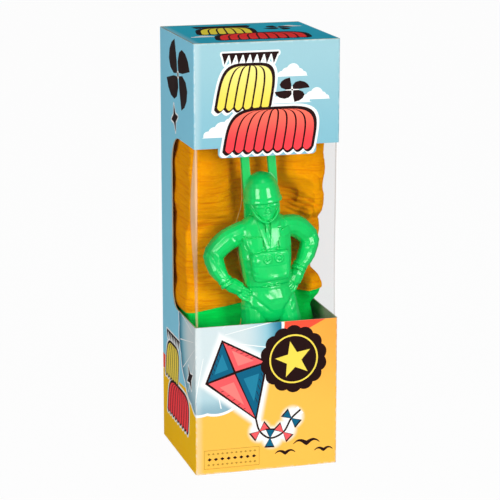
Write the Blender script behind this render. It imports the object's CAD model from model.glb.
from math import copysign, cos, dist, pi, radians, sin, sqrt, tan

import bmesh
import bpy
import numpy as np
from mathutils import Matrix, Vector
from mathutils.geometry import delaunay_2d_cdt


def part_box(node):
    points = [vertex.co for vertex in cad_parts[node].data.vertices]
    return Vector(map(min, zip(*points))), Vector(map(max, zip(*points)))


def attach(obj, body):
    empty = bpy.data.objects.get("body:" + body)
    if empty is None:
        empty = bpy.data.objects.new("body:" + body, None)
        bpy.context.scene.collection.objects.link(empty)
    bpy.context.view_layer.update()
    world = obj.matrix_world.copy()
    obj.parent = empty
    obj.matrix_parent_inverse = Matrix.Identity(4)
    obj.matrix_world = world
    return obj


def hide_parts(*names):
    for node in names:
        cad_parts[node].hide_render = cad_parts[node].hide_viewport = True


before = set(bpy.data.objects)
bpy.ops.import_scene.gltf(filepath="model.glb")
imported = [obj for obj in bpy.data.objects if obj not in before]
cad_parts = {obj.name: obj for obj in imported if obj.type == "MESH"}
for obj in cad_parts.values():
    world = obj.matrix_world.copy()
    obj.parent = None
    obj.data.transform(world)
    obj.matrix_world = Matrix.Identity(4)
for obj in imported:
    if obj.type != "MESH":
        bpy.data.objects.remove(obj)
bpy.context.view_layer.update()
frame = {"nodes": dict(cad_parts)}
MM = 0.001
nodes = frame["nodes"]

# Carton, in millimetres
WIDTH, DEPTH, HEIGHT = 69.0, 64.0, 203.0
HALF, FRONT = WIDTH / 2, -DEPTH / 2
REAR_LEFT = -HALF - DEPTH  # places along the unrolled sleeve, counted from the front's middle
BACK_START = HALF + DEPTH
BACK_END = BACK_START + WIDTH
FOLD = 1.0  # outer radius of an upright fold


# Camera, fitted to the carton's corners in the photograph
AZIMUTH, ELEVATION = radians(-15.92), radians(13.42)
AIM_RIGHT, AIM_UP, DISTANCE = 0.000812, 0.098986, 0.99484
LENS, SENSOR = 150.5, 36.0


def add_object(name, data):
    made = bpy.data.objects.new(name, data)
    bpy.context.scene.collection.objects.link(made)
    return made


def point_from(thing, place, direction):
    thing.location = place
    thing.rotation_mode = "QUATERNION"
    thing.rotation_quaternion = direction.to_track_quat("-Z", "Y")


def make_camera():
    back = Vector((sin(AZIMUTH) * cos(ELEVATION), -cos(AZIMUTH) * cos(ELEVATION), sin(ELEVATION)))
    target = Vector((cos(AZIMUTH), sin(AZIMUTH), 0)) * AIM_RIGHT + Vector((0, 0, AIM_UP))
    data = bpy.data.cameras.new("camera")
    data.lens, data.sensor_width = LENS, SENSOR
    data.clip_start, data.clip_end = 0.05, 20.0
    camera = add_object("camera", data)
    point_from(camera, target + back * DISTANCE, -back)
    bpy.context.scene.camera = camera


make_camera()


# Colours and materials
def rgb(red, green, blue):
    """A linear colour, from its parts of 255."""
    def one(value):
        value /= 255
        return value / 12.92 if value <= 0.04045 else ((value + 0.055) / 1.055) ** 2.4

    return (one(red), one(green), one(blue), 1.0)


class Nodes:
    """A node tree, and short ways to add nodes to it."""

    def __init__(self, tree):
        self.tree = tree

    def put(self, node, inputs):
        for key, value in inputs.items():
            if isinstance(value, bpy.types.NodeSocket):
                self.tree.links.new(value, node.inputs[key])
            else:
                node.inputs[key].default_value = value

    def add(self, kind, inputs=None, **settings):
        node = self.tree.nodes.new("ShaderNode" + kind)
        for key, value in settings.items():
            setattr(node, key, value)
        self.put(node, inputs or {})
        return node

    def math(self, operation, a, b=0.0):
        return self.add("Math", {0: a, 1: b}, operation=operation).outputs[0]

    def plus(self, a, b):
        return self.math("ADD", a, b)

    def minus(self, a, b):
        return self.math("SUBTRACT", a, b)

    def times(self, a, b):
        return self.math("MULTIPLY", a, b)

    def larger(self, a, b):
        return self.math("MAXIMUM", a, b)

    def gap(self, across, up, centre):
        """The distance from a centre, which is given in millimetres."""
        dx, dz = self.minus(across, centre[0] * MM), self.minus(up, centre[1] * MM)
        return self.math("SQRT", self.plus(self.times(dx, dx), self.times(dz, dz)))

    def mix(self, factor, a, b):
        return self.add("Mix", {0: factor, 6: a, 7: b}, data_type="RGBA").outputs[2]

    def split(self, vector):
        return self.add("SeparateXYZ", {0: vector}).outputs

    def span(self, value, low, high, start=0.0, end=1.0, smooth=True):
        node = self.add("MapRange", {0: value, 1: low, 2: high, 3: start, 4: end})
        node.interpolation_type = "SMOOTHSTEP" if smooth else "LINEAR"
        return node.outputs[0]

    def bump(self, height, distance, strength, under=None):
        inputs = {"Height": height, "Distance": distance, "Strength": strength}
        if under:
            inputs["Normal"] = under
        return self.add("Bump", inputs).outputs[0]


class Surface(Nodes):
    """A material, as its nodes."""

    def __init__(self, name, roughness, specular=0.5, **inputs):
        self.material = bpy.data.materials.new(name)
        self.material.use_nodes = True
        super().__init__(self.material.node_tree)
        self.shader = self.tree.nodes["Principled BSDF"]
        self.put(self.shader, {"Roughness": roughness, "Specular IOR Level": specular, **inputs})
        self.coordinates = self.add("TexCoord").outputs

    def noise(self, scale, detail, stretch=None, roughness=0.55):
        vector = self.coordinates["Object"]
        if stretch:
            vector = self.add("Mapping", {0: vector, "Scale": stretch}).outputs[0]
        inputs = {"Vector": vector, "Scale": scale, "Detail": detail, "Roughness": roughness}
        return self.add("TexNoise", inputs).outputs[0]

    def tint(self, color, tone, covered, share=1.0):
        return self.mix(covered if share == 1.0 else self.times(covered, share), color, tone)

    def finish(self, color, roughness=None, normal=None, alpha=None):
        named = {"Base Color": color, "Roughness": roughness, "Normal": normal, "Alpha": alpha}
        self.put(self.shader, {key: value for key, value in named.items() if value is not None})
        return self.material


SKY, SKY_PALE = rgb(130, 186, 201), rgb(154, 197, 206)
TEAL = rgb(40, 176, 204)
GOLD, GOLD_WARM = rgb(250, 190, 80), rgb(254, 166, 68)
WHITE = rgb(243, 244, 242)
INK = rgb(40, 22, 22)
RAW = rgb(182, 181, 146)


def paper_grain(s):
    """The bump of coated board, with the broad and the fine noise that it is made of."""
    fine, broad = s.noise(5200, 2.0), s.noise(60, 2.0)
    return s.bump(s.plus(fine, s.times(broad, 6.0)), 0.00002, 0.25), broad, fine


def sides(ring):
    """The sides of a closed outline, as pairs of points."""
    return list(zip(ring, ring[1:] + ring[:1]))


# The kite's corners, and the middles of the glow round its tail, on the front panel in millimetres
KITE = [(-21.5, 64.0), (-29.0, 44.5), (-5.5, 25.5), (-0.5, 52.5)]
TAIL = [(-3.5, 19.0), (2.5, 15.5), (9.0, 18.5), (12.5, 24.5)]


def kite_glow(s, across, up):
    """How strongly the white glow round the kite covers a place."""
    outside = None
    for (ax, az), (bx, bz) in sides(KITE):
        length = dist((ax, az), (bx, bz))
        nx, nz = (bz - az) / length, (ax - bx) / length
        side = s.minus(s.plus(s.times(across, nx), s.times(up, nz)), (nx * ax + nz * az) * MM)
        outside = side if outside is None else s.larger(outside, side)
    glow = s.span(outside, 0.0044, 0.0014)
    for centre in TAIL:
        glow = s.larger(glow, s.span(s.gap(across, up, centre), 0.0068, 0.0036))
    return glow


def ink(name, low, high=None, span=(0.0, 0.203), disc=None, glow=False, warm=None, beside=None, lid=False):
    """Ink on coated board, whose UV map holds the place on the unrolled panel, in metres.

    Its colour goes from low to high over the span of heights. A disc darkens towards its rim, warm tints
    the front's upper right, beside is the colour left of the front panel, and a lid wears only at its own
    edges.
    """
    s = Surface(name, 0.46, 0.03 if lid else 0.12, IOR=1.2)
    across, up = s.split(s.coordinates["UV"])[:2]
    color = s.mix(s.span(up, *span), low, high or low)
    if warm:
        color = s.tint(color, warm, s.span(across, -0.004, 0.034), s.span(up, 0.022, 0.072))
    if beside:
        color = s.tint(color, beside, s.span(across, -0.0340, -0.0350))
    if disc:
        centre, radius, edge, deep = disc
        distance = s.gap(across, up, centre)
        shade = s.span(up, 0.028, 0.060, 0.4, 0.9)
        for start, end, tone in ((0.45, 0.96, edge), (0.76, 1.0, deep)):
            covered = s.span(distance, start * radius * MM, end * radius * MM)
            color = s.tint(color, tone, covered, shade)
    if glow:
        color = s.tint(color, WHITE, kite_glow(s, across, up))
    normal, broad, fine = paper_grain(s)
    folds = [s.math("ABSOLUTE", s.minus(across, f * MM)) for f in (-HALF, HALF, REAR_LEFT, BACK_START)]
    if lid:
        nearest = s.minus(-FRONT * MM, s.math("ABSOLUTE", up))
    else:
        nearest = s.math("MINIMUM", up, s.minus(HEIGHT * MM, up))
    for fold in folds:
        nearest = s.math("MINIMUM", nearest, fold)
    scuffed = s.times(s.span(nearest, 0.0011, 0.0), s.span(s.noise(420, 4.0), 0.42, 0.62))
    color = s.tint(color, WHITE, scuffed, 0.38)
    rim = s.times(s.span(folds[0], 0.0042, 0.001), s.span(across, -0.0350, -0.0344))
    color = s.tint(color, WHITE, rim, 0.2)
    color = s.tint(color, INK, s.span(fine, 0.3, 0.7), 0.04)
    return s.finish(color, s.span(broad, 0.3, 0.7, 0.42, 0.5), normal)


def board_material(name, facing=None, inked=SKY):
    """Bare board, with ink on the side that faces a given way."""
    s = Surface(name, 0.7)
    normal, broad, fine = paper_grain(s)
    fibre = s.noise(900, 5.0, (1.0, 1.0, 0.25))
    color = s.mix(s.span(fibre, 0.35, 0.7), RAW, rgb(176, 172, 150))
    color = s.tint(color, rgb(206, 204, 188), s.span(broad, 0.4, 0.7), 0.35)
    rough = 0.7
    if facing:
        normals = s.coordinates["Normal"]
        dot = s.add("VectorMath", {0: normals, 1: facing}, operation="DOT_PRODUCT").outputs["Value"]
        side = s.span(dot, 0.6, 0.7)
        color = s.tint(color, s.tint(inked, WHITE, s.span(fibre, 0.3, 0.75), 0.1), side)
        rough = s.span(dot, 0.6, 0.7, 0.7, 0.36)
    return s.finish(color, rough, normal)


# Making meshes
def link(name, mesh, materials=(), body="carton"):
    piece = add_object(name, mesh)
    for material in materials:
        mesh.materials.append(material)
    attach(piece, body)
    return piece


def grid_piece(name, points, material):
    """A sheet through rows and columns of points, in millimetres."""
    rows, columns = points.shape[:2]
    index = np.arange(rows * columns).reshape(rows, columns)
    left, right = index[:, :-1], index[:, 1:]
    faces = np.stack([left[:-1], right[:-1], right[1:], left[1:]], -1).reshape(-1, 4)
    mesh = bpy.data.meshes.new(name)
    mesh.from_pydata((points.reshape(-1, 3) * MM).tolist(), [], faces.tolist())
    mesh.polygons.foreach_set("use_smooth", [True] * len(faces))
    mesh.update()
    return link(name, mesh, [material])


def ramp(value, low, high):
    """A smooth rise from 0 to 1."""
    t = np.clip((value - low) / (high - low), 0, 1)
    return t * t * (3 - 2 * t)


def noise_at(u, v, seed):
    """Smooth noise from -1 to 1 at each pair of places."""
    def lattice(i, j):  # an integer hash, brought to -1 to 1
        mixed = (i * 374761393 + j * 668265263 + seed * 1442695041) & 0x7FFFFFFF
        mixed = ((mixed ^ (mixed >> 13)) * 1274126177) & 0x7FFFFFFF
        return ((mixed ^ (mixed >> 16)) & 0xFFFF) / 32767.5 - 1

    i, j = np.floor(u).astype(np.int64), np.floor(v).astype(np.int64)
    fu, fv = ramp(u - i, 0, 1), ramp(v - j, 0, 1)
    low = lattice(i, j) * (1 - fu) + lattice(i + 1, j) * fu
    high = lattice(i, j + 1) * (1 - fu) + lattice(i + 1, j + 1) * fu
    return low * (1 - fv) + high * fv


def lengths(path):
    """The length along a path up to each of its points."""
    return np.concatenate([[0], np.cumsum(np.linalg.norm(np.diff(path, axis=0), axis=1))])


def across_path(path):
    """Unit vectors across a flat path, to its left."""
    ahead = np.gradient(path, axis=0)
    ahead /= np.linalg.norm(ahead, axis=1)[:, None]
    return np.c_[-ahead[:, 1], ahead[:, 0]]


# Suspension line: the same route as the solid's, in millimetres
LINE_ROUTE = [
    (-7.89, -17.6, 152), (-7.89, -14.6, 152), (-7.64, -12.7, 150.2), (-7.12, -11.8, 145),
    (-6.44, -10.6, 138), (-6.17, -10.7, 131), (-6.64, -11.8, 124.5), (-8.22, -12.3, 119.4),
    (-9.48, -11.6, 114), (-9.02, -10.5, 106), (-7.02, -10.3, 95), (-4.95, -10.3, 82),
    (-6.84, -10.4, 66), (-11.65, -10.4, 49), (-20, -10.58, 35), (-28.6, -11.38, 30),
    (-32.8, -7.81, 29), (-33, 0.11, 28.5), (-33, 10.01, 29), (-33, 18.72, 33),
    (-32.6, 25.85, 43), (-32, 29.7, 59.52), (-31.9, 29.8, 85.56), (-32, 29.8, 111.6),
    (-31.9, 29.7, 133.92), (-31.9, 29.8, 156.24), (-31.8, 29.8, 171.12), (-31.85, 29.82, 176),
    (-31.6, 29.95, 177.4), (-30.7, 30.42, 178.4), (-29.8, 30.9, 177.4), (-29.55, 31, 176),
    (-29.6, 31, 172.98), (-29.8, 31, 150.66), (-29.7, 31, 130.2), (-29.8, 31, 109.74),
    (-29.7, 31, 93), (-29.2, 30.8, 78.12), (-28.4, 30.6, 68.82),
]
THREAD = 0.0005  # across, in metres


def smooth_route(route, steps=10):
    """Points of a centripetal curve through the route."""
    p = np.array(route, float)
    p = np.vstack([2 * p[0] - p[1], p, 2 * p[-1] - p[-2]])
    out = []
    for a, b, c, d in zip(p, p[1:], p[2:], p[3:]):
        gaps = [max(np.linalg.norm(q - r) ** 0.5, 1e-4) for q, r in ((b, a), (c, b), (d, c))]
        t = np.cumsum([0] + gaps)
        for x in (t[1] + (t[2] - t[1]) * k / steps for k in range(steps)):
            def between(p, q, i, j):
                return (p * (t[j] - x) + q * (x - t[i])) / (t[j] - t[i])

            ab, bc, cd = between(a, b, 0, 1), between(b, c, 1, 2), between(c, d, 2, 3)
            out.append(between(between(ab, bc, 0, 2), between(bc, cd, 1, 3), 1, 2))
    return np.array(out + [p[-2]])


def make_line():
    route = smooth_route(LINE_ROUTE) * MM
    curve = bpy.data.curves.new("suspension_thread", "CURVE")
    curve.dimensions = "3D"
    curve.bevel_depth, curve.bevel_resolution = THREAD / 2, 3
    spline = curve.splines.new("POLY")
    spline.points.add(len(route) - 1)
    spline.points.foreach_set("co", np.c_[route, np.ones(len(route))].ravel())
    spline.use_smooth = True
    s = Surface("clear_thread", 0.3, 0.6)
    inputs = {"Vector": s.coordinates["Object"], "Scale": 900.0, "Distortion": 2.0}
    ply = s.add("TexWave", inputs, wave_type="BANDS", bands_direction="DIAGONAL").outputs[1]
    color = s.mix(ply, rgb(216, 150, 44), rgb(232, 184, 96))
    material = s.finish(color, normal=s.bump(ply, 0.00005, 0.4))
    line = link("suspension_thread", curve, [material])
    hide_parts("suspension_line")


make_line()


# Printed motifs: outlines on a flat panel, in millimetres, painted in order
def polar(cx, cz, places):
    """Points round a centre, from their angles and distances."""
    return [(cx + r * cos(a), cz + r * sin(a)) for a, r in places]


def turns(steps):
    return [2 * pi * k / steps for k in range(steps)]


def circle(cx, cz, radius, steps):
    return polar(cx, cz, [(a, radius) for a in turns(steps)])


def scalloped(cx, cz, radius, lobes, depth):
    def reach(a):
        return radius - depth + depth * abs(sin(lobes * a / 2)) ** 0.8

    return polar(cx, cz, [(a, reach(a)) for a in turns(lobes * 10)])


def star(cx, cz, outer, inner, points=5, turn=0.2):
    angles = [pi / 2 + turn + pi * k / points for k in range(2 * points)]
    return polar(cx, cz, [(a, inner if k % 2 else outer) for k, a in enumerate(angles)])


def arc(cx, cz, radius, start, end, steps=10):
    angles = [radians(start + (end - start) * k / steps) for k in range(steps + 1)]
    return polar(cx, cz, [(a, radius) for a in angles])


def ribbon(path, half):
    """A band of the given half width along a path."""
    p = np.array(path, float)
    side = across_path(p) * np.broadcast_to(np.asarray(half, float), len(p))[:, None]
    return [tuple(q) for q in np.vstack([p + side, (p - side)[::-1]])]


DOME_LEAN, DOME_POWER, DOME_SEAM = 0.18, 4.2, 0.42


def dome_side(f, level, width):
    """Half width of a canopy's meridian at share f, at a share of its height."""
    return f * width / 2 * max(0.0, 1 - level**DOME_POWER) ** (1 / DOME_POWER)


def dome(color, cx, cz, width, height, gores):
    """A canopy seen from the side, of upright gores with dark seams and a scalloped foot."""
    def leaning(points):
        return [(cx + x + DOME_LEAN * z, cz + z) for x, z in points]

    def outline(grow):
        levels = sorted(round(cos(pi / 2 * k / 16), 4) for k in range(17))
        w, h = width + 2 * grow, height + grow
        right = [(dome_side(1, v, w), v * h) for v in levels]
        left = [(-x, z) for x, z in right[::-1]]
        foot = []
        for g in range(gores):
            for k in range(6):
                dip = -0.09 * height * abs(sin(pi * (k / 6)))
                foot.append((-w / 2 + (g + k / 6) / gores * w, dip - grow))
        return leaning(right + left + foot)

    shapes = [("white", outline(2.0)), ("ink", outline(0.9))]
    for g in range(gores):
        a, b = [], []
        for level in (sin(pi / 2 * k / 14.6) for k in range(15)):
            z = level * (height - 0.4)
            x0 = dome_side(-1 + 2 * g / gores, level, width) + DOME_SEAM
            x1 = dome_side(-1 + 2 * (g + 1) / gores, level, width) - DOME_SEAM
            if x1 - x0 < 0.25:
                break
            a.append((x0, z))
            b.append((x1, z))
        left, across = a[0][0], b[0][0] - a[0][0]
        foot = [(left + across * k / 6, -0.08 * height * sin(pi * k / 6)) for k in range(1, 6)]
        shapes.append((color, leaning(foot + b + a[::-1])))
    return shapes


def cloud(cx, cz, width):
    """A heap of round puffs on a level foot."""
    puffs = [(-0.36, 0.06, 0.12), (-0.18, 0.12, 0.17), (0.04, 0.2, 0.22), (0.24, 0.1, 0.16), (0.4, 0.05, 0.1)]
    shapes = []
    for x, z, r in puffs:
        ring = circle(cx + x * width, cz + z * width, r * width, 28)
        shapes.append(("white", [(px, max(pz, cz)) for px, pz in ring]))
    foot = [(-0.52, 0), (0.55, 0), (0.4, 0.06), (-0.4, 0.06)]
    return shapes + [("white", [(cx + x * width, cz + z * width) for x, z in foot])]


def clouds(*places):
    return [shape for place in places for shape in cloud(*place)]


def edged(ring, halo):
    """A dark outline on an even white edge."""
    edge = []
    for a, b in sides(ring):
        edge += [("white", ribbon([a, b], halo)), ("white", circle(*a, halo, 8))]
    return edge + [("ink", ring)]


def pinwheel(cx, cz, size, turn, squash=1.0):
    """Four bent vanes round a hub."""
    vane = [
        (0.03, 0.02), (0.2, -0.05), (0.53, -0.12), (0.53, 0.04),
        (0.47, 0.18), (0.35, 0.28), (0.21, 0.28), (0.08, 0.18),
    ]
    shapes = []
    for quarter in range(4):
        c, s = cos(turn + quarter * pi / 2), sin(turn + quarter * pi / 2)
        ring = [(cx + size * (x * c - z * s), cz + squash * size * (x * s + z * c)) for x, z in vane]
        shapes.append(("ink", ring))
    return shapes + [("white", circle(cx, cz, 0.045 * size, 12)), ("ink", circle(cx, cz, 0.028 * size, 10))]


def emblem(place=lambda x, z: (x, z)):
    """Two canopies under a row of pennants, in the front panel's frame until they are placed."""
    lefts = [-21.2 + 3.3 * k for k in range(8)]
    row = [[(x, 197.4), (x + 2.9, 197.4), (x + 1.0, 192.9)] for x in lefts]
    row.append([(-21.4, 197.2), (5.2, 197.2), (5.2, 198.2), (-21.4, 198.2)])
    shapes = [shape for ring in row for shape in edged(ring, 0.8)[:-1]]
    yellow = dome("lemon", -11.6, 173.6, 25.0, 19.0, 6)
    red = dome("coral", 0.4, 154.0, 41.5, 18.2, 9)
    shapes += [yellow[0], red[0]] + yellow[1:] + red[1:]
    shapes += [("ink", ring) for ring in row]
    return [(color, [place(x, z) for x, z in ring]) for color, ring in shapes]


def rays(cx, cz, inner, outer, count, half):
    shapes = []
    for k in range(count):
        a = 2 * pi * (k + 0.5) / count
        c, s = cos(a), sin(a)
        ring = [(inner, -half * 0.4), (outer, -half), (outer, half), (inner, half * 0.4)]
        shapes.append(("white", [(cx + r * c - t * s, cz + r * s + t * c) for r, t in ring]))
    return shapes


def kite():
    """A two-coloured kite with bows on its tail."""
    top, left, foot, right = KITE
    middle = Vector((-15.6, 48.6))

    def grown(by):
        return [tuple(Vector(p) + (Vector(p) - middle).normalized() * by) for p in KITE]

    tail_route = (foot, (-3.5, 19), (1.5, 15.2), (8, 17.5), (12, 24), (16.5, 28))
    tail = smooth_route([(x, z, 0) for x, z in tail_route], 8)[:, :2]
    shapes = [("white", ribbon(tail, 2.2)), ("white", grown(3.0))]
    shapes += [("ink", ribbon(tail, 0.45)), ("ink", grown(1.0))]
    warm, cool = ("red", "rose"), ("deep", "teal")
    quarters = [(top, right, *warm), (right, foot, *cool), (foot, left, *warm), (left, top, *cool)]
    for a, b, color, bright in quarters:
        corners = [Vector(a), Vector(b), middle]
        centre = (corners[0] + corners[1] + corners[2]) / 3
        ring = [p + (centre - p).normalized() * 0.75 for p in corners]
        shapes.append((color, [tuple(p) for p in ring]))
        shapes.append((bright, [tuple(p + (centre - p) * 0.5) for p in corners]))
        for k in range(1, 7):  # hatching
            near, far = ring[0].lerp(ring[1], k / 8), ring[0].lerp(ring[2], k / 8)
            ends = [tuple(near.lerp(far, share)) for share in (0.04, 0.42 - 0.04 * k)]
            shapes.append(("ink", ribbon(ends, 0.13)))
    for k, share in enumerate((0.22, 0.42, 0.62, 0.82)):  # bows
        i = int(share * (len(tail) - 1))
        knot = Vector(tail[i])
        ahead = Vector(tail[i + 1] - tail[i]).normalized()
        side = Vector((-ahead.y, ahead.x))
        for grow, color in ((0.7, "ink"), (0.0, "deep" if k % 2 else "red")):
            half = ahead * (1.9 + grow)
            for way in (1, -1):
                tip = knot + side * way * (4.0 + grow)
                wing = [knot - side * way * grow * 0.5, tip + half, tip - half]
                shapes.append((color, [tuple(p) for p in wing]))
    return shapes


def gull(cx, cz, span):
    """Two wings as one thin bent stroke."""
    half, places = span / 2, np.linspace(-1, 1, 25)
    rises = [0.42 * half * (abs(sin(2.4 * abs(t))) - 0.62 * abs(t)) for t in places]
    path = [(cx + half * t, cz + rise) for t, rise in zip(places, rises)]
    return [("ink", ribbon(path, [0.16 + 0.07 * span * (1 - abs(t)) for t in places]))]


def ruled_border(x0, z0, x1, z1):
    """A ruled frame round three rows of lozenges."""
    corners = [(x0, z0), (x1, z0), (x1, z1), (x0, z1)]
    shapes = [("faint", ribbon([a, b], 0.12)) for a, b in sides(corners)]
    for row, (size, color) in enumerate(((0.75, "faint"), (1.05, "ink"), (0.75, "faint"))):
        z = z0 + (z1 - z0) * (row + 0.7) / 3.4
        count = int((x1 - x0 - 2) / (2.9 * size))
        for k in range(count):
            x = x0 + 1 + (x1 - x0 - 2) * (k + 0.5) / count
            shapes.append((color, [(x - size, z), (x, z - 0.8 * size), (x + size, z), (x, z + 0.8 * size)]))
    return shapes


def window_outline():
    """The window's edge on the unrolled sleeve: both sides and the front less the header's tab."""
    reach = HALF + 43.0
    half = [(HALF, 71.5)]
    half += arc(reach - 8.5, 80.0, 8.5, -90, 0) + arc(reach - 14, 141.0, 14, 0, 90)
    half += [(23.25, 155.0)] + arc(21.25, 152.5, 2, 0, -90, 6)
    return half + [(-x, z) for x, z in half[::-1]]


def paint(name, shapes, cuts, place, palette, body):
    """One sheet of ink, cut along every outline, each part in the colour that lies on top."""
    points, faces, colors = [], [], []
    for color, ring in shapes:
        clean = [p for k, p in enumerate(ring) if dist(p, ring[k - 1]) > 1e-4]
        if sum(a[0] * b[1] - b[0] * a[1] for a, b in sides(clean)) < 0:
            clean.reverse()
        faces.append(list(range(len(points), len(points) + len(clean))))
        points += clean
        colors.append(color)
    edges = [(k, k + 1) for k in range(len(points), len(points) + 2 * len(cuts), 2)]
    points += [end for cut in cuts for end in cut]
    made = delaunay_2d_cdt([Vector(p) for p in points], edges, faces, 1, 1e-6, True)
    flat, triangles, sources = made[0], made[2], made[5]
    names = list(palette)
    kept, slots = [], []
    for triangle, source in zip(triangles, sources):
        # The first shape is the panel, and a shape without a colour is a hole
        if 0 in source and colors[max(source)] is not None:
            kept.append(triangle)
            slots.append(names.index(colors[max(source)]))
    mesh = bpy.data.meshes.new(name)
    mesh.from_pydata([[c * MM for c in place(*p)] for p in flat], [], kept)
    for material in palette.values():
        mesh.materials.append(material)
    mesh.polygons.foreach_set("material_index", slots)
    uv = mesh.uv_layers.new(name="panel")
    for loop in mesh.loops:
        uv.data[loop.index].uv = [c * MM for c in flat[loop.vertex_index]]
    edit = bmesh.new()
    edit.from_mesh(mesh)
    bmesh.ops.delete(edit, geom=[v for v in edit.verts if not v.link_faces], context="VERTS")
    bmesh.ops.recalc_face_normals(edit, faces=edit.faces)
    edit.to_mesh(mesh)
    edit.free()
    return link(name, mesh, body=body)


LIFT = 0.03  # of the ink over the board
EDGE = 0.12  # from the ink to the board's cut edges
SAND = 38.0  # top of the gold ground on the side and back panels


def on_sleeve(s, z):
    """From a place along the unrolled sleeve to the carton."""
    folds = [
        (-HALF, -HALF, FRONT, pi), (HALF, HALF, FRONT, 1.5 * pi), (BACK_START, HALF, -FRONT, 0.0),
    ]
    for at, cx, cy, start in folds:
        if abs(s - at) < FOLD:
            turn = start + (s - at + FOLD) / (2 * FOLD) * pi / 2
            mx, my = cx - copysign(FOLD, cx), cy - copysign(FOLD, cy)
            return (mx + (FOLD + LIFT) * cos(turn), my + (FOLD + LIFT) * sin(turn), z)
    if s < -HALF:
        return (-HALF - LIFT, FRONT - (s + HALF), z)
    if s <= HALF:
        return (s, FRONT - LIFT, z)
    if s < BACK_START:
        return (HALF + LIFT, FRONT + (s - HALF), z)
    return (HALF - (s - BACK_START), -FRONT + LIFT, z)


DISC = ((-29.0, 65.5), 36.5)  # centre and radius
BADGE = (13.0, 53.1)


def sleeve_shapes():
    """Everything on the sleeve, from the ground colours up."""
    low, high = EDGE, HEIGHT - EDGE
    start, end = REAR_LEFT + 0.35, BACK_END - 0.5
    centre, radius = DISC
    return [
        ("sky", [(start, low), (end, low), (end, high), (start, high)]),
        ("gold", [
            (start, low), (end, low), (end, SAND), (HALF, SAND),
            (HALF, 75), (-HALF, 75), (-HALF, SAND), (start, SAND - 3),
        ]),
        ("coral_ground", [(start, SAND - 3), (-70, SAND), (-70, 40), (start, 42.6)]),
        ("coral_ground", [(9, 73), (31.5, 73), (20.3, 67.4), (12, 60), (7, 60)]),
        ("white", scalloped(*centre, radius + 1.3, 16, 1.1)),
        ("pale", scalloped(*centre, radius, 16, 1.1)),
        *rays(*centre, 9, radius - 2, 16, 0.28),
        *clouds((11, 174.4, 18), (11.5, 186.6, 14), (22.8, 175.6, 13), (-22, 160, 17), (-16, 165, 12)),
        *emblem(),
        *pinwheel(11.6, 180.4, 15.5, radians(20), 0.68),
        *pinwheel(-63.5, 185, 42, radians(28), 0.72),
        *edged(star(-70.5, 163.6, 6.6, 2.6, 4, 0.25), 0.9),
        *edged(star(-45, 44.5, 6, 2.4, 4, 0.5), 0.8),
        *emblem(lambda x, z: (-69.5 + 0.96 * x, 15.2 + 0.9 * (z - 152))),
        *clouds((52, 172, 18), (86, 184, 13), (114, 172, 20), (150, 184, 15)),
        *ruled_border(-30.5, 2.6, -3.8, 11.6),
        *gull(9, 7, 10), *gull(19.5, 11, 13), *gull(28, 7, 9),
        *kite(),
        ("burst", scalloped(*BADGE, 16.4, 14, 1.3)),
        ("lemon", circle(*BADGE, 11.9, 64)),
        ("burst", circle(*BADGE, 11.1, 64)),
        ("lemon", star(BADGE[0], 52.8, 9.2, 3.8)),
        (None, window_outline()),
    ]


SLEEVE_INKS = {
    "sky": ink("ink_sky", SKY, SKY_PALE, (0.150, 0.203), beside=rgb(140, 212, 236)),
    "gold": ink("ink_gold", GOLD, glow=True, warm=GOLD_WARM, beside=rgb(255, 198, 8)),
    "white": ink("ink_white", WHITE),
    "pale": ink(
        "ink_pale", rgb(207, 221, 223), disc=(*DISC, rgb(108, 186, 205), rgb(6, 108, 142)), glow=True
    ),
    "ink": ink("ink_dark", INK),
    "lemon": ink("ink_lemon", rgb(244, 218, 84), rgb(248, 232, 136), (0.172, 0.196)),
    "coral": ink("ink_coral", rgb(252, 66, 74), rgb(255, 112, 92), (0.156, 0.172)),
}
for name, color in {
    "coral_ground": (250, 84, 60), "burst": (38, 20, 20), "faint": (176, 138, 52), "red": (240, 92, 96),
    "rose": (250, 128, 122), "deep": (18, 96, 128), "teal": (36, 128, 158),
}.items():
    SLEEVE_INKS[name] = ink("ink_" + name, rgb(*color))
# Upright cuts, by which the ink bends round the folds
bends = [at - FOLD + 2 * FOLD * k / 8 for at in (-HALF, HALF, BACK_START) for k in range(9)]
cuts = [((s, EDGE), (s, HEIGHT - EDGE)) for s in bends]
sleeve_print = paint("sleeve_print", sleeve_shapes(), cuts, on_sleeve, SLEEVE_INKS, "carton")

LID_INKS = {
    "lid": ink("lid_teal", TEAL, rgb(44, 186, 212), (-0.03, 0.03), lid=True),
    "base": ink("base_gold", GOLD, lid=True),
    "white": ink("lid_white", WHITE, lid=True),
    "ink": ink("lid_ink", rgb(30, 14, 14), lid=True),
    "lemon": ink("lid_lemon", rgb(255, 234, 70), lid=True),
    "coral": ink("lid_coral", rgb(255, 52, 50), lid=True),
}


def lid_print(node, ground, decorated):
    """Ink on a lid's outer face, which looks up where it is decorated and down where it is plain."""
    low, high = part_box(node)
    x0, x1 = low.x / MM + 0.1, high.x / MM - 0.1
    y0, y1 = low.y / MM + 0.05, high.y / MM - 0.05
    z = high.z / MM + LIFT if decorated else low.z / MM - LIFT
    shapes = [(ground, [(x0, y0), (x1, y0), (x1, y1), (x0, y1)])]
    if decorated:
        shapes += clouds((-24, -12, 13), (24.5, 14.5, 12))
        placed = emblem(lambda x, z: (x + 1.0, 1.02 * (z - 175.5)))
        panes = [(color, ring) for color, ring in placed if color != "white"]
        shapes += [("ink", ribbon(side, 1.2)) for _, ring in panes for side in sides(ring)]
        shapes += panes
        shapes += pinwheel(18.0, 12.0, 14.0, radians(16))
    palette = LID_INKS if decorated else {ground: LID_INKS[ground]}
    piece = paint(node + "_print", shapes, [], lambda u, v: (u, v, z), palette, node)


lid_print("top_lid", "lid", True)
lid_print("bottom_lid", "base", False)

plain_board = board_material("plain_board")


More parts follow.
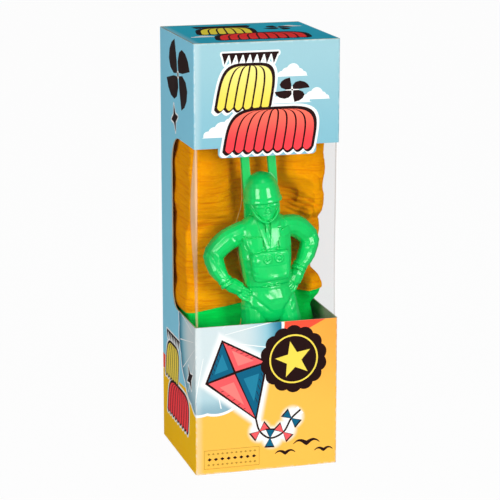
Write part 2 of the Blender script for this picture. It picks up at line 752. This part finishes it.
def set_material(node, material):
    nodes[node].data.materials.clear()
    nodes[node].data.materials.append(material)


for node in ("carton_sleeve", "top_lid", "bottom_lid"):
    set_material(node, plain_board)
for end, up, ground in (("top", 1, rgb(92, 168, 194)), ("bottom", -1, GOLD)):
    tuck_board = board_material(end + "_tuck_board", (0, 1, 0), ground)
    dust_board = board_material(end + "_dust_board", (0, 0, up), ground)
    set_material(end + "_tuck_flap", tuck_board)
    for side in ("left", "right"):
        set_material(end + "_dust_flap_" + side, dust_board)


# Window film: one clear sheet folded round inside the window, with slight buckles
FILM_SIDE, FILM_FRONT, FILM_FOLD = 33.775, -31.275, 1.6


def film_path(rear):
    """Points and outward normals of the film seen from above."""
    def fold(cx, start):
        cy, angles = FILM_FRONT + FILM_FOLD, [start + pi / 2 * k / 8 for k in range(1, 8)]
        outward = [(cos(a), sin(a)) for a in angles]
        return [((cx + FILM_FOLD * x, cy + FILM_FOLD * y), (x, y)) for x, y in outward]

    corner = FILM_SIDE - FILM_FOLD
    path = [((-FILM_SIDE, y), (-1, 0)) for y in np.linspace(rear, FILM_FRONT + FILM_FOLD, 60)]
    path += fold(-corner, pi)
    path += [((x, FILM_FRONT), (0, -1)) for x in np.linspace(-corner, corner, 80)]
    path += fold(corner, 1.5 * pi)
    path += [((FILM_SIDE, y), (1, 0)) for y in np.linspace(FILM_FRONT + FILM_FOLD, rear, 60)]
    return np.swapaxes(path, 0, 1)


def film_material():
    """Clear film, with the light that its left fold catches along the window's curved edge."""
    s = Surface("clear_film", 0.06, 0.3, IOR=1.5)
    x, y, z = s.split(s.coordinates["Object"])
    rise = s.math("SINE", s.times(s.span(z, 0.0705, 0.157, 0.0, 1.0, False), pi))
    edge = s.plus(s.times(rise, s.span(z, 0.075, 0.125, 0.0050, 0.0098)), -0.0303)
    inside = s.span(s.minus(y, edge), 0.0009, -0.0009)
    left = s.span(x, -0.0325, -0.0334)
    right = s.span(x, 0.0324, 0.0334)
    corner = s.times(right, s.span(y, -0.0285, -0.0305))
    fold = s.larger(s.times(inside, left), s.times(corner, 0.4))
    dust = s.span(s.noise(900, 5.0), 0.7, 0.84)
    alpha = s.plus(0.032, s.times(fold, s.span(z, 0.080, 0.125, 0.42, 0.74)))
    alpha = s.plus(alpha, s.plus(s.times(right, 0.13), s.times(dust, 0.05)))
    color = s.mix(fold, rgb(64, 64, 76), rgb(255, 214, 170))
    return s.finish(color, alpha=alpha, normal=s.bump(s.noise(70, 2.0), 0.0004, 0.3))


def make_film():
    low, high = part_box("window_film")
    path, normals = film_path(high.y / MM)
    along = lengths(path)
    u, v = np.meshgrid(along, np.linspace(low.z / MM, high.z / MM, 110))
    free = ramp(v, 73, 84) * (1 - ramp(v, 142, 153))
    free *= ramp(u, 8, 16) * (1 - ramp(u, along[-1] - 16, along[-1] - 8))
    shift = free * (0.34 * noise_at(u / 26, v / 34, 3) + 0.16 * noise_at(u / 11, v / 19, 5) - 0.2)
    flat = [path[None, :, k] + normals[None, :, k] * shift for k in (0, 1)]
    film = grid_piece("window_film_sheet", np.stack([*flat, v], -1), film_material())
    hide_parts("window_film")


make_film()


# Canopy: its outline at each height, in millimetres, as the solid has it
FIGURE_OFFSET = 0.156 * WIDTH
LEAN = radians(4.7)
FIGURE_PLANE = 12.8 - DEPTH / 2
FACE = FIGURE_PLANE + 10.2
BUNDLE_HALF, BUNDLE_BACK, BUNDLE_TOP = 32.85, 30.6, 186.0
FOLD_DEPTH, PITCH, CORNER = 1.3, 16.0, 5.0
SHOULDER, BRIM, RISER_TOP, BELT, SILL, SKIRT = 112.2, 126.0, 153.0, 84.5, 71.5, 75.0
OVER_ELBOW = 107.95
FOOT, CLOTH_SIDE = 1.45, 33.2  # the lowest and the furthest sideways that the cloth reaches
CLOTH_SEED, SEAM_SEED = 31, 21
LAYERS, LAYER_REACH, LAYER_POINTS = 8, 28.5, 26
WRAP_IN, FACE_IN = 0.4, 0.7  # how far the wrap stays inside the outline, and how much more at the face
BEFORE_BACK, BEHIND_FACE = 3.2, 4.4  # from the outline to the layers inside
TUCK = 1.6  # how far the green reaches up inside the orange


def swell(length, phase=0.0):
    return np.sin(2 * np.pi * length / PITCH + phase)


def hump(value, middle, spread, power=2):
    return np.exp(-(((value - middle) / spread) ** power))


def side_inset(side, z):
    folds = FOLD_DEPTH / 3 * (1 + swell(z, side))
    foot = FOLD_DEPTH * (1 - ramp(z, SILL - 6, SILL))
    extra = 0.0
    if side > 0:
        extra = 3 * FOLD_DEPTH * hump(z, BELT + PITCH / 6, 4) + 1.2 * hump(z, SILL - 3, 3)
        extra = extra - 1.4 * hump(z, SKIRT + 2, 4) - 0.5 * ramp(z, 95, 105)
    return folds + extra + foot


def back_at(z):
    clear = 16 * tan(radians(13)) + 0.6
    return BUNDLE_BACK - clear * (1 - ramp(z, 16, 32))


def front_at(x, z):
    upper = ramp(z, SHOULDER, BRIM)
    axis = FIGURE_OFFSET - sin(LEAN) * z
    over = ramp(z, RISER_TOP, RISER_TOP + 2 * PITCH)
    hollow = 10.0 * upper * (1 - over) * hump(x, axis, 15.0, 4)
    folds = 0.3 * swell(z + 0.25 * x) + 0.2 * swell(0.6 * z - 0.4 * x, 1)
    corner = ramp(x, 0.6 * BUNDLE_HALF, 0.82 * BUNDLE_HALF)  # the bundle's right corner
    beside = ramp(z, BELT, BELT + PITCH) / 4
    above = ramp(z, OVER_ELBOW, OVER_ELBOW + PITCH / 2)
    lobe = corner * hump(z, SKIRT + PITCH / 3, PITCH / 2)
    bulge = np.maximum(upper, corner * np.maximum(beside, above)) * 8.0 + lobe * 5.0
    # Further forward than the solid: at the sill and above the elbow
    bulge = bulge + 4.5 * corner * hump(z, SKIRT + 0.5, 6.0)
    bulge = bulge + 3.0 * corner * ramp(z, OVER_ELBOW + 6, OVER_ELBOW + 18)
    return FACE - bulge + hollow + FOLD_DEPTH * folds


def wrap_outline(z, inset, count):
    """The wrap at one height, from its back right corner round the front: points, normals and length."""
    right = BUNDLE_HALF - side_inset(1, z) - inset
    left = side_inset(-1, z) + inset - BUNDLE_HALF
    back = back_at(z) - inset
    r = CORNER

    def corner(cx, cy, start, end):
        a = np.radians(np.linspace(start, end, 9)[1:-1])
        return np.c_[cx + r * np.cos(a), cy + r * np.sin(a)]

    fx = np.linspace(right - r, left + r, 90)
    fy = front_at(fx, z) + inset
    points = np.vstack([
        np.c_[np.full(20, right), np.linspace(back - r, fy[0] + r, 20)],
        corner(right - r, fy[0] + r, 0, -90),
        np.c_[fx, fy],
        corner(left + r, fy[-1] + r, -90, -180),
        np.c_[np.full(20, left), np.linspace(fy[-1] + r, back - r, 20)],
        corner(left + r, back - r, 180, 90),
        np.c_[np.linspace(left + r, right - r, 30), np.full(30, back)],
        corner(right - r, back - r, 90, 20),
    ])
    length = lengths(points)
    at = np.linspace(0, length[-1], count)
    outline = np.stack([np.interp(at, length, points[:, k]) for k in (0, 1)], 1)
    outward = across_path(outline)
    return outline, outward if outward[0][0] > 0 else -outward, length[-1]


def creases(s, z):
    """How far the wrap stands in or out: soft hollows, long shallow ridges and fine crumples."""
    seed = CLOTH_SEED
    drift = 5 * noise_at(s / 34, z / 16, seed)
    long = noise_at(s / 20, (z + drift) / 3.1, seed + 1)
    fine = noise_at(s / 7.5, (z + drift) / 1.35, seed + 2)
    soft = 0.8 * noise_at(s / 13, z / 11, seed + 3)
    soft += 0.7 * noise_at(s / 25, (z + drift) / 15, seed + 6)
    ridge = 1 - np.abs(noise_at(s / 30, (z + 1.6 * drift) / 5.2, seed + 4)) * 2
    sharp = 1 - np.abs(noise_at(s / 16, (z + 0.8 * drift + 0.12 * s) / 7.0, seed + 5)) * 2
    ridges = 0.3 * np.maximum(ridge, 0) ** 3 + 0.3 * np.maximum(sharp, 0) ** 4
    return 0.9 * soft + 0.27 * long + 0.1 * fine + ridges


# Single creases of the face: from (x, z) to (x, z), half width and how far they stand out, in millimetres
CREASES = [
    (-31, 131, -12, 135, 2, -0.9), (-31, 127.5, -11, 131.5, 1.6, 0.4), (-31, 118.5, -10, 116.8, 1.2, -0.7),
    (-32, 100.6, -21, 103.4, 0.8, -0.8), (-32, 99, -20, 98, 0.7, -0.9), (-32, 97.4, -22, 93, 0.8, -0.7),
    (-31, 146, -14, 143, 1.2, -0.5), (-31, 86, -16, 89, 1, -0.6), (-31, 81, -10, 84.5, 1.4, -0.5),
    (17, 142, 32, 136, 1.3, -1), (17, 138.5, 32, 131, 1.6, 0.8), (8, 131, 22, 127, 0.6, -1.1),
    (8, 128.6, 26, 124.6, 0.55, -1.2), (8, 126.4, 27, 121, 0.6, -1.2), (9, 124.2, 26, 118.5, 0.55, -1.1),
    (11, 121.8, 27, 115.5, 0.6, -1), (24, 122.5, 32, 112, 1.1, -1.2), (22, 126, 32, 121, 0.9, -0.8),
    (14, 148, 31, 146, 1.5, -0.6), (24, 100, 32, 104, 1, -0.7),
]


def strokes_at(strokes, x, z):
    """How far single creases stand out at each place."""
    total = 0.0
    for x0, z0, x1, z1, half, depth in strokes:
        dx, dz = x1 - x0, z1 - z0
        t = np.clip(((x - x0) * dx + (z - z0) * dz) / (dx**2 + dz**2), 0, 1)
        gap = np.hypot(x - x0 - t * dx, z - z0 - t * dz)
        total = total + depth * np.exp(-((gap / half) ** 2)) * (1 - (2 * t - 1) ** 4)
    return total


def single_creases(outline, z):
    """The creases of the face, and the deep recess beside the helmet."""
    x, y = outline.T
    recess = 6.0 * hump(x, 15.0, 7.0) * hump(z, 126.5, 6.0)
    return (strokes_at(CREASES, x, z) - recess) * (1 - ramp(y, FACE + 2, FACE + 8))


def cloth_sheet(levels, inset_at, foot_at, head_at, count):
    """One sheet: folded to and fro inside, then round the outside. Returns its points."""
    rows = []
    for share, z in levels:
        inset = inset_at(z)
        outline, outward, length = wrap_outline(z, inset, count)
        s = np.linspace(0, length, count)
        lower, upper = foot_at(outline[:, 0], s), head_at(outline[:, 0], s)
        height = lower + (upper - lower) * share
        face_share = ramp(-outward[:, 1], 0.2, 0.8)
        push = creases(s, height) * (0.55 + 0.45 * face_share) + single_creases(outline, height)
        push = push - WRAP_IN - FACE_IN * face_share
        wrap = np.c_[outline + outward * push[:, None], height]
        wrap[:, 0] = np.clip(wrap[:, 0], -CLOTH_SIDE, CLOTH_SIDE)
        back = back_at(z) - BEFORE_BACK - inset
        face = front_at(np.zeros(1), z)[0] + BEHIND_FACE + inset
        layers = []
        for k in range(LAYERS):
            y = face + (back - face) * (k + 0.5) / LAYERS
            x = np.linspace(-LAYER_REACH, LAYER_REACH, LAYER_POINTS) * (1 if k % 2 else -1) * 0.98
            wave = 0.7 * noise_at(x / 14 + 9 * k, z / 22, CLOTH_SEED + 9)
            top = upper.mean() - 3.5 + 1.6 * noise_at(x / 9 + 5 * k, 0.5, CLOTH_SEED + 11)
            low = lower.mean() + 1.0
            layers.append(np.c_[x, y + wave, low + (top - low) * share])
        rows.append(np.vstack(layers + [wrap]))
    return np.array(rows)


def seam_line(x, s):
    """Where orange meets green, round the bundle."""
    rise = 1.4 * ramp(x, -30, 0) + 1.7 * ramp(x, 4, 20)
    wander = 0.3 * noise_at(s / 12, 0.5, SEAM_SEED)
    return SKIRT + 0.1 * x + rise + wander + 0.15 * noise_at(s / 3.5, 2.5, SEAM_SEED)


def nylon(name, base, dark, light):
    s = Surface(name, 0.62, 0.1, IOR=1.06)
    threads = []
    for scale in ((2600, 2600, 0), (0, 0, 2600)):
        vector = s.add("Mapping", {0: s.coordinates["Object"], "Scale": scale}).outputs[0]
        inputs = {"Vector": vector, "Scale": 1.0}
        wave = s.add("TexWave", inputs, wave_type="BANDS", bands_direction="DIAGONAL")
        threads.append(wave.outputs[1])
    weave = s.plus(*threads)
    pleat = s.noise(340, 6.0, (0.1, 0.1, 2.6), roughness=0.62)
    crumple = s.noise(520, 4.0, (0.3, 0.3, 1.7))
    streak = s.noise(900, 4.0, (0.06, 0.06, 1.5))
    crepe = s.noise(1700, 2.0, (0.7, 0.7, 1.2))
    broad = s.noise(46, 3.0, (0.6, 0.6, 1.6))
    normal, color = None, base
    for height, distance, strength in (
        (weave, 0.00003, 0.2), (crepe, 0.00022, 0.5), (streak, 0.00042, 0.6), (pleat, 0.0009, 0.65),
        (crumple, 0.0004, 0.4),
    ):
        normal = s.bump(height, distance, strength, normal)
    for height, low, high, share, tone in (
        (pleat, 0.5, 0.32, 0.3, dark), (broad, 0.48, 0.75, 0.4, light), (streak, 0.45, 0.37, 0.46, dark),
        (crepe, 0.54, 0.38, 0.3, dark), (weave, 0.4, 1.6, 0.08, dark),
    ):
        color = s.tint(color, tone, s.span(height, low, high), share)
    return s.finish(color, s.span(crumple, 0.3, 0.7, 0.56, 0.7), normal)


ORANGE = nylon("orange_nylon", rgb(255, 170, 2), rgb(222, 104, 0), rgb(255, 184, 6))
GREEN = nylon("green_nylon", rgb(0, 246, 95), rgb(0, 196, 70), rgb(10, 250, 106))


def row_levels(low, high, step):
    count = int((high - low) / step)
    return [(k / count, low + (high - low) * k / count) for k in range(count + 1)]


def rounded_inset(gap):
    """How far the cloth draws in near its top and foot."""
    near = min(1, abs(gap) / 9)
    return 0.6 * 9 * (1 - sqrt(1 - (1 - near) ** 2))


def turned_in(points, columns):
    """Rows that carry the wrap's top edge inwards over the folds."""
    inner, last, s = points.shape[1] - columns, points[-1], np.linspace(0, 215, columns)
    rows = []
    for k in range(1, 9):
        ring = last.copy()
        middle = np.array([0.0, (ring[inner:, 1].max() + ring[inner:, 1].min()) / 2])
        ring[inner:, :2] = middle + (ring[inner:, :2] - middle) * (1 - 0.026 * k)
        ripple = 0.3 * noise_at(s / 6, k / 3, 77) * min(1, k / 3)
        ring[inner:, 2] += -0.05 * k * k + ripple
        ring[inner:, 2] = np.minimum(ring[inner:, 2], BUNDLE_TOP + 0.2)
        ring[:inner, 2] += 0.02 * k
        rows.append(ring)
    return np.array(rows)


def make_canopy():
    columns, step = ((520, 0.55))
    points = cloth_sheet(
        row_levels(SKIRT, BUNDLE_TOP, step),
        lambda z: rounded_inset(z - BUNDLE_TOP),
        seam_line,
        lambda x, s: np.full_like(x, BUNDLE_TOP),
        columns,
    )
    points = np.concatenate([points, turned_in(points, columns)])
    orange = grid_piece("canopy_disc_orange", points, ORANGE)
    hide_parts("canopy_orange_cloth")

    points = cloth_sheet(
        row_levels(FOOT, SKIRT + 1.8, step),
        lambda z: rounded_inset(z - FOOT) + 0.7 * ramp(z, SKIRT - 3, SKIRT + 1),
        lambda x, s: np.full_like(x, FOOT),
        lambda x, s: seam_line(x, s) + TUCK,
        columns,
    )
    green = grid_piece("canopy_skirt_green", points, GREEN)
    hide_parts("canopy_green_skirt")


make_canopy()


# Figure: the moulded solid with its edges rounded as a mould leaves them
VOXEL = 0.00025
RELIEF_GAIN, RELIEF_MOST = 1.2, 0.4  # how much more the small relief stands out, and from which size less
HEAD_SHIFT = 0.9  # to the right, to meet the photograph


def green_plastic():
    s = Surface("green_plastic", 0.21, 0.55, **{
        "Subsurface Weight": 0.06,
        "Subsurface Radius": (0.001, 0.003, 0.001),
        "Subsurface Scale": 1.0,
    })
    broad, fine = s.noise(90, 3.0), s.noise(1400, 3.0)
    color = s.mix(s.span(broad, 0.3, 0.7), rgb(0, 207, 95), rgb(0, 217, 104))
    normal = s.bump(broad, 0.0006, 0.1, s.bump(fine, 0.00002, 0.06))
    return s.finish(color, s.span(fine, 0.3, 0.7, 0.19, 0.23), normal)


# Folds of the moulded clothes, as the canopy's creases are given
CLOTHES_FOLDS = [
    (-5.4, 83, 4.2, 74.5, 0.8, -0.5), (-7.8, 81.5, -2.6, 77, 0.9, 0.35), (15.4, 83, 9.6, 75, 0.8, -0.5),
    (-1, 84, 4.5, 80, 0.9, 0.25), (-10.2, 110, -6.6, 101.5, 0.7, -0.4), (-8.2, 109, -4.6, 102.5, 0.7, 0.35),
    (-9.4, 100.6, -2.6, 100, 0.8, 0.4), (-6.5, 92.5, 4, 90, 0.9, -0.3), (2, 92, 10.5, 93.8, 0.8, 0.3),
    (-8.5, 96, -3, 93.5, 0.8, -0.3), (-25, 103.5, -20.5, 97.5, 0.8, -0.45),
    (-23, 104.5, -19, 100, 0.7, 0.35), (22, 107.5, 27, 109.5, 0.8, -0.25),
    (21.5, 104, 26.5, 105.3, 0.8, -0.25), (-21, 96, -17.5, 92, 0.7, -0.35), (-10, 74.5, -4, 79, 0.9, 0.3),
    (14, 74, 17, 80, 0.9, 0.3), (-14.5, 112, -10.5, 107, 0.8, -0.4), (16, 112.5, 14.5, 106.5, 0.8, -0.4),
]


def fold_clothes(places, outward):
    """Moves the moulding's vertices, in metres, into the folds."""
    x, y, z = (places / MM).T
    d = 0.16 * noise_at(x / 4.2 + z / 12, z / 6.2 + y / 9, 101)
    d += 0.08 * noise_at(x / 2.6 - z / 8, z / 3.4 + y / 6, 103)
    d += ramp(-outward[:, 1], 0.0, 0.5) * strokes_at(CLOTHES_FOLDS, x, z)
    cloth = 1 - ramp(z, 114.5, 117.5)
    return places + outward * (d * cloth * MM)[:, None]


def vertex_values(mesh, name):
    values = np.empty(3 * len(mesh.vertices))
    mesh.vertices.foreach_get(name, values)
    return values.reshape(-1, 3)


def make_figure():
    piece = add_object("paratrooper", nodes["paratrooper_figure"].data.copy())
    remesh = piece.modifiers.new("remesh", "REMESH")
    remesh.mode, remesh.voxel_size = "VOXEL", VOXEL
    smooth = piece.modifiers.new("smooth", "SMOOTH")
    smooth.factor = 0.5
    shapes = []
    for passes in (40, 2):
        smooth.iterations = passes
        bpy.context.view_layer.update()
        shown = piece.evaluated_get(bpy.context.evaluated_depsgraph_get())
        shapes.append(bpy.data.meshes.new_from_object(shown))
    bpy.data.objects.remove(piece)
    shape = shapes[1]
    shape.name = "paratrooper"
    shape.materials.clear()
    shape.polygons.foreach_set("use_smooth", [True] * len(shape.polygons))
    # Small relief stands out more sharply than the smoothing leaves it
    soft, crisp = [vertex_values(mesh, "co") for mesh in shapes]
    size = np.linalg.norm(crisp - soft, axis=1) / MM
    share = ramp(size, 0.03, 0.1) * np.minimum(1, RELIEF_MOST / np.maximum(size, 1e-6))
    share *= 1 - ramp(crisp[:, 2] / MM, 124, 132)
    places = crisp + RELIEF_GAIN * share[:, None] * (crisp - soft)
    places = fold_clothes(places, vertex_values(shape, "normal"))
    z = places[:, 2] / MM
    places[:, 0] += HEAD_SHIFT * MM * ramp(z, 112, 124) * (1 - ramp(z, 148, 153))
    shape.vertices.foreach_set("co", places.ravel())
    figure = link("paratrooper", shape, [green_plastic()])
    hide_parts("paratrooper_figure")


make_figure()


# Studio
LAMPS = [  # name, place, aim, width, height and power
    ("key", (0.58, -1.35, 0.38), (0, 0, 0.11), 0.55, 0.85, 13.0),
    ("side", (-1.08, -0.98, 0.35), (0, 0, 0.11), 0.55, 0.85, 11.3),
    ("top", (-0.1, -0.45, 1.4), (0, 0, 0.2), 0.6, 0.6, 3.9),
]
AMBIENT, AMBIENT_STRENGTH = (0.62, 0.63, 0.65, 1), 0.32
WORLD_IN_GLOSS, FLOOR_IN_GLOSS = 0.1, 0.28  # how white they are to rays of glossy reflection
FLOOR_GREY, FLOOR_REACH, FLOOR_WHITE = (0.62, 0.62, 0.62, 1), 6, 0.97


def make_lamps():
    for name, place, aim, width, height, power in LAMPS:
        data = bpy.data.lights.new(name, "AREA")
        data.shape, data.size, data.size_y = "ELLIPSE", width, height
        data.energy = power
        point_from(add_object(name, data), place, Vector(aim) - Vector(place))


def whiteness(nodes, in_gloss):
    """Which rays see plain white, which are of glossy reflection, and how white both together see it."""
    seen = nodes.add("LightPath").outputs
    plain, glossy = nodes.larger(seen["Is Camera Ray"], seen["Is Transmission Ray"]), seen["Is Glossy Ray"]
    return plain, glossy, nodes.larger(plain, nodes.times(glossy, in_gloss))


def make_world():
    """Dim light from around the object, and plain white where the camera sees past it."""
    world = bpy.data.worlds.new("studio")
    world.use_nodes = True
    bpy.context.scene.world = world
    nodes = Nodes(world.node_tree)
    dim, output = nodes.tree.nodes["Background"], nodes.tree.nodes["World Output"]
    nodes.put(dim, {"Color": AMBIENT, "Strength": AMBIENT_STRENGTH})
    white = nodes.add("Background", {"Color": (1, 1, 1, 1)})
    share = whiteness(nodes, WORLD_IN_GLOSS)[2]
    both = nodes.add("MixShader", {0: share, 1: dim.outputs[0], 2: white.outputs[0]})
    nodes.put(output, {"Surface": both.outputs[0]})


def make_floor():
    """A floor that the camera sees as white and that keeps a little of the shadow."""
    corners = [(x * FLOOR_REACH, y * FLOOR_REACH, 0) for x, y in ((-1, -1), (1, -1), (1, 1), (-1, 1))]
    mesh = bpy.data.meshes.new("floor")
    mesh.from_pydata(corners, [], [(0, 1, 2, 3)])
    floor = add_object("floor", mesh)
    s = Surface("floor", 0.8, **{"Base Color": FLOOR_GREY})
    plain, glossy, brightness = whiteness(s, FLOOR_IN_GLOSS)
    glow = s.add("Emission", {"Color": (1, 1, 1, 1), "Strength": brightness})
    share = s.larger(s.times(plain, FLOOR_WHITE), glossy)
    both = s.add("MixShader", {0: share, 1: s.shader.outputs[0], 2: glow.outputs[0]})
    s.put(s.tree.nodes["Material Output"], {"Surface": both.outputs[0]})
    mesh.materials.append(s.material)


make_lamps()
make_world()
make_floor()
bpy.context.scene.view_settings.view_transform = "Standard"
